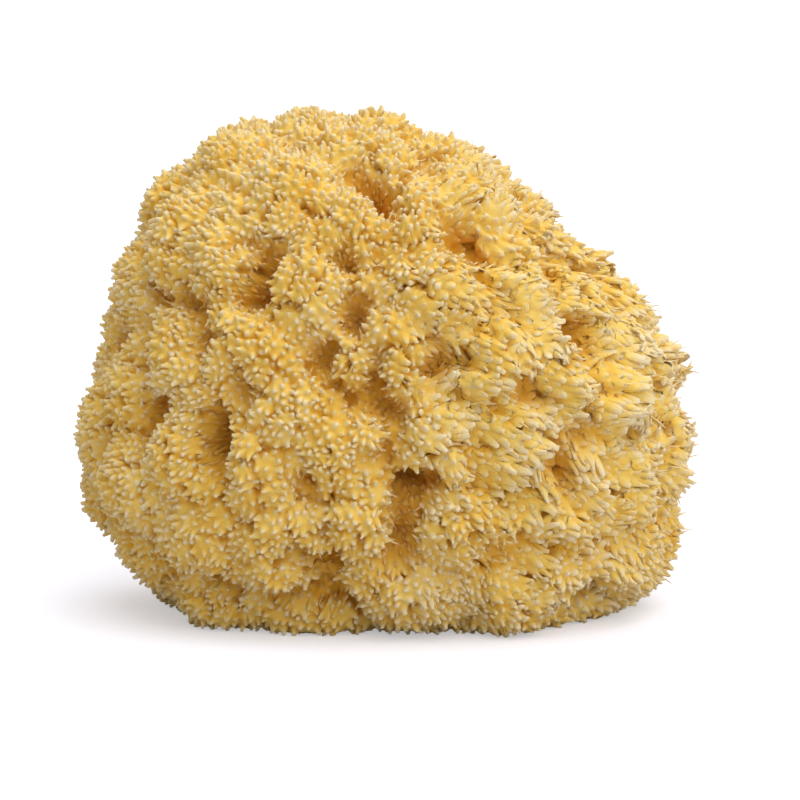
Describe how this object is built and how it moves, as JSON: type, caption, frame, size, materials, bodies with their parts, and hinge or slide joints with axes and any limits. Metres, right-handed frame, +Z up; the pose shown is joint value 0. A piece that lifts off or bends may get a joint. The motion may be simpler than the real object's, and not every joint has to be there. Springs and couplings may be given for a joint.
{
  "type": "natural sea sponge",
  "caption": "Natural bath sponge: a golden, rounded, lumpy body with furrows and pits, standing up all over in small soft tufts, cut off flat underneath.",
  "frame": {"origin": "on the flat cut face that the sponge rests on, under the middle of its width and depth", "axes": "+Z up out of the cut face, -Y towards the side that the picture shows, +X to the right seen from that side"},
  "size_m": [0.15, 0.122, 0.122],
  "materials": {
    "sponge_fibre": "dry, soft, matt golden-yellow fibre"
  },
  "bodies": {
    "root": {"sponge": "sponge_fibre"}
  },
  "joints": []
}
